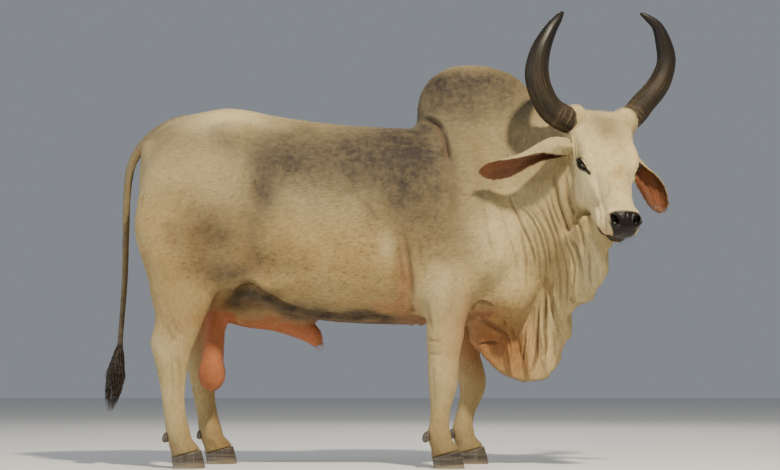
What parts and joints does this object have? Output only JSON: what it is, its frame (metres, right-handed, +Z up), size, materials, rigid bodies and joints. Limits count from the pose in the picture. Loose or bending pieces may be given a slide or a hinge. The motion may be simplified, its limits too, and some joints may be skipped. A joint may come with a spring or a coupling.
{
  "type": "zebu bull",
  "caption": "Standing humped bull with lyre-shaped horns, hanging ears, a deep pleated dewlap and its head turned to its right, as a still life-size model.",
  "frame": {"origin": "on the floor, under the middle of the bounding box", "axes": "+X towards the bull's front, +Y towards its left side, +Z up"},
  "size_m": [2.4086, 0.9194, 1.8842],
  "materials": {
    "coat": "short cream-grey hair over skin",
    "bare_skin": "bare orange-pink skin",
    "horn": "smooth horn with fine streaks",
    "hoof": "dull dark hoof horn",
    "eye": "wet gloss",
    "hair": "long black hair"
  },
  "bodies": {
    "root": {"dewlap": "coat", "ear_left": "coat", "ear_right": "coat", "eye_left": "eye", "eye_right": "eye", "foreleg_left": "coat", "foreleg_left_dewclaw_left": "hoof", "foreleg_left_dewclaw_right": "hoof", "foreleg_left_hoof_left": "hoof", "foreleg_left_hoof_right": "hoof", "foreleg_right": "coat", "foreleg_right_dewclaw_left": "hoof", "foreleg_right_dewclaw_right": "hoof", "foreleg_right_hoof_left": "hoof", "foreleg_right_hoof_right": "hoof", "head": "coat", "hindleg_left": "coat", "hindleg_left_dewclaw_left": "hoof", "hindleg_left_dewclaw_right": "hoof", "hindleg_left_hoof_left": "hoof", "hindleg_left_hoof_right": "hoof", "hindleg_right": "coat", "hindleg_right_dewclaw_left": "hoof", "hindleg_right_dewclaw_right": "hoof", "hindleg_right_hoof_left": "hoof", "hindleg_right_hoof_right": "hoof", "horn_left": "horn", "horn_right": "horn", "hump": "coat", "neck": "coat", "scrotum": "bare_skin", "sheath": "bare_skin", "tail": "coat", "tail_switch": "hair", "torso": "coat"}
  },
  "joints": []
}
